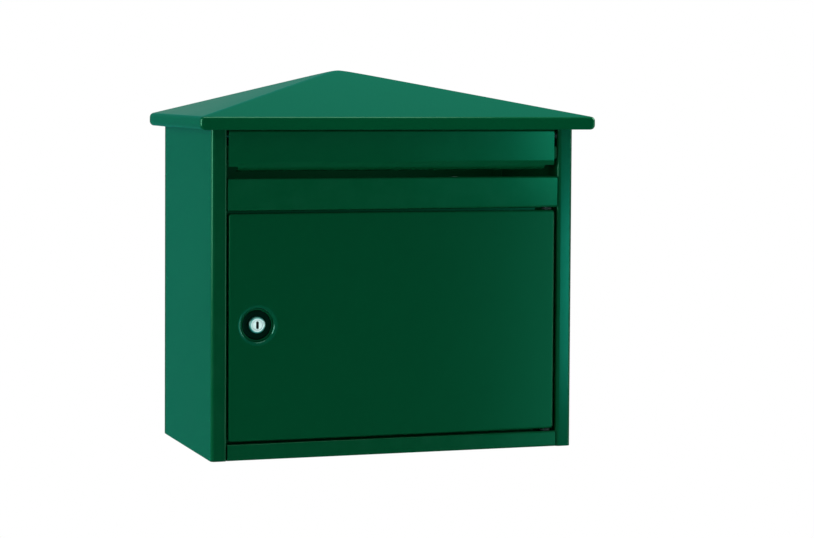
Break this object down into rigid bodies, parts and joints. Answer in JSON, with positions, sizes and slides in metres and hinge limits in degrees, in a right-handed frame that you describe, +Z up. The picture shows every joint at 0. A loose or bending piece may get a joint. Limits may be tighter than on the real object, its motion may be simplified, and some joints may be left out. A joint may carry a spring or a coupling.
{
  "type": "wall mounted mailbox",
  "caption": "Wall-mounted sheet-steel mailbox with a hipped overhanging roof, a lifting letter flap over a slot, and a key-locked front door hinged on its right side.",
  "frame": {"origin": "on the back panel's rear face, at the centre of the wall-fixing hole pattern, 165 mm above the underside of the box", "axes": "+Y into the wall the box hangs on, so the front looks along -Y; +X to the right as one faces the box; +Z up"},
  "size_m": [0.402, 0.2172, 0.3748],
  "materials": {
    "green_paint": "glossy dark green enamel on sheet steel",
    "zinc_steel": "zinc plated",
    "chrome": "polished",
    "black_nylon": "moulded"
  },
  "bodies": {
    "cabinet": {"back_panel": "green_paint", "bottom_panel": "green_paint", "left_side_panel": "green_paint", "right_side_panel": "green_paint", "top_plate": "green_paint", "front_header": "green_paint", "roof_cover": "green_paint", "slot_sill_panel": "green_paint", "flap_stop_left": "green_paint", "flap_stop_right": "green_paint", "strike_bracket": "green_paint", "roof_bracket_left": "zinc_steel", "roof_bracket_right": "zinc_steel", "roof_screw_left_front": "zinc_steel", "roof_screw_left_back": "zinc_steel", "roof_screw_right_front": "zinc_steel", "roof_screw_right_back": "zinc_steel", "roof_nut_left_front": "zinc_steel", "roof_nut_left_back": "zinc_steel", "roof_nut_right_front": "zinc_steel", "roof_nut_right_back": "zinc_steel", "flap_hinge_rod": "zinc_steel", "flap_rod_clip_left": "zinc_steel", "flap_rod_clip_right": "zinc_steel", "door_hinge_pin_lower": "zinc_steel", "door_hinge_pin_upper": "zinc_steel", "door_hinge_clip_lower": "zinc_steel", "door_hinge_clip_upper": "zinc_steel", "flap_rod_spacer": "black_nylon", "door_washer_lower": "black_nylon", "door_washer_upper": "black_nylon"},
    "flap": {"flap_panel": "green_paint"},
    "door": {"door_panel": "green_paint", "lock_housing": "chrome", "lock_nut": "zinc_steel"},
    "lock_plug": {"lock_plug": "chrome", "lock_cam": "zinc_steel", "cam_screw": "zinc_steel"}
  },
  "joints": [
    {"name": "door_hinge", "type": "hinge", "parent": "cabinet", "child": "door", "pos_m": [0.1594, -0.1907, -0.1467], "axis": [0, 0, 1], "range_deg": [0, 120]},
    {"name": "flap_hinge", "type": "hinge", "parent": "cabinet", "child": "flap", "pos_m": [0, -0.1915, 0.146], "axis": [-1, 0, 0], "range_deg": [0, 90]},
    {"name": "lock_turn", "type": "hinge", "parent": "door", "child": "lock_plug", "pos_m": [-0.1392, -0.1943, -0.0353], "axis": [0, 1, 0], "range_deg": [0, 90]}
  ]
}
